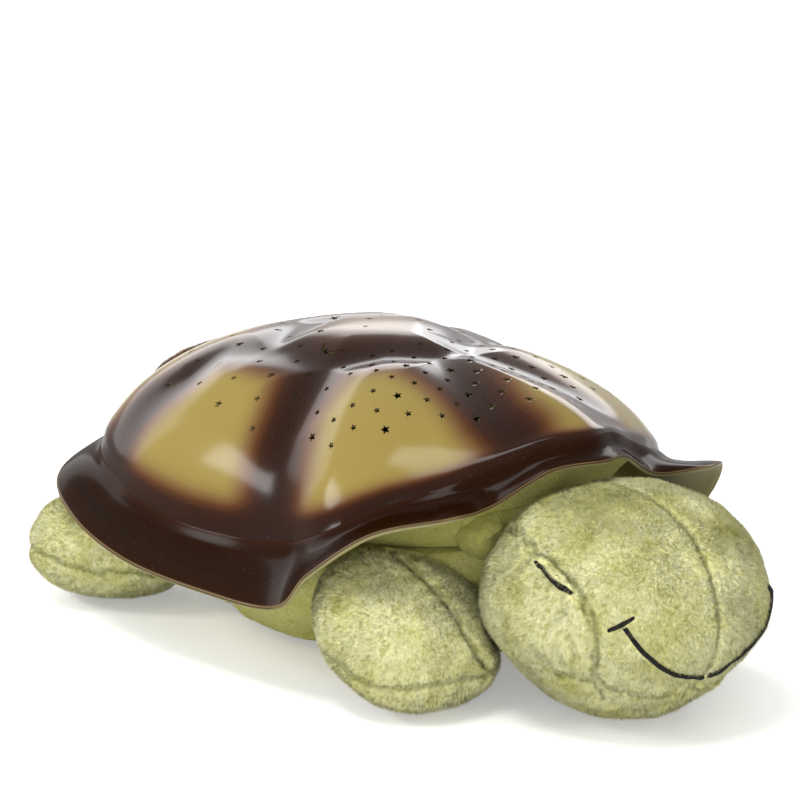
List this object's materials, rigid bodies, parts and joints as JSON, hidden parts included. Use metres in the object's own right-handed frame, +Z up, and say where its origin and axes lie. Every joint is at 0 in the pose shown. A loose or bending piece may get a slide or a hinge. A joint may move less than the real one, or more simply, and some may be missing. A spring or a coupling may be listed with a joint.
{
  "type": "star night light projector",
  "caption": "Sleeping plush turtle night light with a glossy hard shell pierced by small stars, buttons at the rear and a battery case in the belly.",
  "frame": {"origin": "on the ground under the middle of the bounding box", "axes": "+Z up, -Y towards the head, +X to the turtle's left"},
  "size_m": [0.276, 0.406, 0.1429],
  "materials": {
    "glossy_shell": "high gloss",
    "steel": "bright",
    "dark_plastic": "satin",
    "brown_plush": "short pile",
    "board": "satin",
    "button_cream": "satin",
    "button_amber": "satin",
    "button_green": "satin",
    "button_blue": "satin",
    "white_plastic": "satin",
    "clear_plastic": "clear",
    "battery_jacket": "gloss",
    "wire_jacket": "satin",
    "green_plush": "short pile",
    "belly_plush": "short pile",
    "filling": "loose fibre",
    "hook_strip": "matt",
    "thread": "satin thread"
  },
  "bodies": {
    "turtle": {"shell": "glossy_shell", "shell_posts": "glossy_shell", "shell_screws": "steel", "control_tray": "dark_plastic", "control_pad": "brown_plush", "button_board": "board", "button_switches": "dark_plastic", "tray_screws": "steel", "base_plate": "dark_plastic", "lamp_column": "white_plastic", "lamp_board": "board", "amber_lamp": "clear_plastic", "green_lamp": "clear_plastic", "blue_lamp": "clear_plastic", "lamp_cover": "clear_plastic", "battery_case": "dark_plastic", "case_screws": "steel", "main_board": "board", "board_screws": "steel", "timer_chip": "dark_plastic", "board_parts": "board", "battery_1": "battery_jacket", "battery_2": "battery_jacket", "battery_3": "battery_jacket", "battery_springs": "steel", "battery_plates": "steel", "battery_leads": "wire_jacket", "lamp_leads": "wire_jacket", "button_leads": "wire_jacket", "torso_cover": "green_plush", "torso_filling": "filling", "belly_panel": "belly_plush", "flap_hooks": "hook_strip", "head_cover": "green_plush", "head_filling": "filling", "eye_left": "thread", "eye_right": "thread", "smile": "thread", "front_flipper_left": "green_plush", "front_flipper_right": "green_plush", "rear_leg_left": "green_plush", "rear_leg_right": "green_plush", "tail": "green_plush", "limb_filling": "filling"},
    "flap": {"belly_flap": "belly_plush", "flap_loops": "belly_plush"},
    "door": {"battery_door": "dark_plastic", "door_screw": "steel"},
    "power_key": {"power_button": "button_cream"},
    "amber_key": {"amber_button": "button_amber"},
    "green_key": {"green_button": "button_green"},
    "blue_key": {"blue_button": "button_blue"}
  },
  "joints": [
    {"name": "flap_hinge", "type": "hinge", "parent": "turtle", "child": "flap", "pos_m": [0, 0.08514, 0.0002], "axis": [1, 0, 0], "range_deg": [0, 110]},
    {"name": "door_lift_off", "type": "slide", "parent": "turtle", "child": "door", "axis": [0, 0, -1], "range_m": [0, 0.0045]},
    {"name": "power_press", "type": "slide", "parent": "turtle", "child": "power_key", "axis": [0, -0.515, -0.8572], "range_m": [0, 0.0015], "stiffness_N_per_m": 350, "springref_m": -0.0004},
    {"name": "amber_press", "type": "slide", "parent": "turtle", "child": "amber_key", "axis": [0, -0.515, -0.8572], "range_m": [0, 0.0015], "stiffness_N_per_m": 350, "springref_m": -0.0004},
    {"name": "green_press", "type": "slide", "parent": "turtle", "child": "green_key", "axis": [0, -0.515, -0.8572], "range_m": [0, 0.0015], "stiffness_N_per_m": 350, "springref_m": -0.0004},
    {"name": "blue_press", "type": "slide", "parent": "turtle", "child": "blue_key", "axis": [0, -0.515, -0.8572], "range_m": [0, 0.0015], "stiffness_N_per_m": 350, "springref_m": -0.0004}
  ]
}
